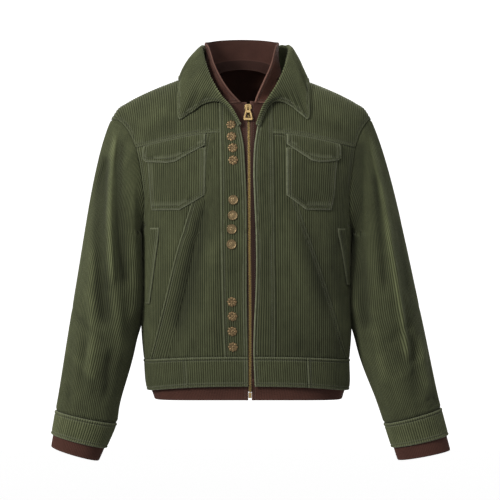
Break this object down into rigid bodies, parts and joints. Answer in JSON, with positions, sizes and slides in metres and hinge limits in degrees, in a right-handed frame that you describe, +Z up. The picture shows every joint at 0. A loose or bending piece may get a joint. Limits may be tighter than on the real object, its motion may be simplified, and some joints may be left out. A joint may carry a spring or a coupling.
{
  "type": "corduroy jacket",
  "caption": "Waist-length corduroy jacket in a worn, hollow form, with a turned-down collar, flap pockets, a zip with a hinged pull tab and a knitted inner layer.",
  "frame": {"origin": "middle of the wearer's shoulders: on the garment's centre line, under the neck, level with the shoulder seams beside the collar", "axes": "+Z up, -Y out of the garment's front, +X to the wearer's left"},
  "size_m": [0.7284, 0.2463, 0.7798],
  "materials": {
    "olive_corduroy": "wide-wale cotton corduroy, olive green, matt with a soft sheen",
    "brown_knit": "plain brown brushed cloth, matt",
    "zip_brass": "antique brass, half gloss",
    "antique_brass": "antique brass, half gloss",
    "antique_copper": "antique copper, half gloss"
  },
  "bodies": {
    "jacket": {"back": "olive_corduroy", "button_1": "antique_copper", "button_10": "antique_copper", "button_11": "antique_copper", "button_12": "antique_copper", "button_2": "antique_copper", "button_3": "antique_copper", "button_4": "antique_copper", "button_5": "antique_brass", "button_6": "antique_brass", "button_7": "antique_brass", "button_8": "antique_brass", "button_9": "antique_copper", "centre_front_left": "olive_corduroy", "centre_front_right": "olive_corduroy", "chest_pocket_left": "olive_corduroy", "chest_pocket_right": "olive_corduroy", "collar": "olive_corduroy", "cuff_left": "olive_corduroy", "cuff_right": "olive_corduroy", "hem_rib": "brown_knit", "inner_collar": "brown_knit", "inner_cuff_left": "brown_knit", "inner_cuff_right": "brown_knit", "inner_front_left": "brown_knit", "inner_front_right": "brown_knit", "neck_facing": "brown_knit", "placket_left": "olive_corduroy", "placket_right": "olive_corduroy", "pocket_flap_left": "olive_corduroy", "pocket_flap_right": "olive_corduroy", "side_front_left": "olive_corduroy", "side_front_right": "olive_corduroy", "sleeve_left": "olive_corduroy", "sleeve_right": "olive_corduroy", "waistband_back": "olive_corduroy", "waistband_left": "olive_corduroy", "waistband_right": "olive_corduroy", "welt_left": "olive_corduroy", "welt_right": "olive_corduroy", "yoke_left": "olive_corduroy", "yoke_right": "olive_corduroy", "zip_chain": "zip_brass", "zip_slider": "zip_brass", "zip_stop": "zip_brass"},
    "pull": {"zip_pull": "zip_brass"}
  },
  "joints": [
    {"name": "pull_hinge", "type": "hinge", "parent": "jacket", "child": "pull", "pos_m": [-0.00359, -0.08105, -0.05664], "axis": [-1, -0.0081, 0.0028], "range_deg": [0, 150]}
  ]
}
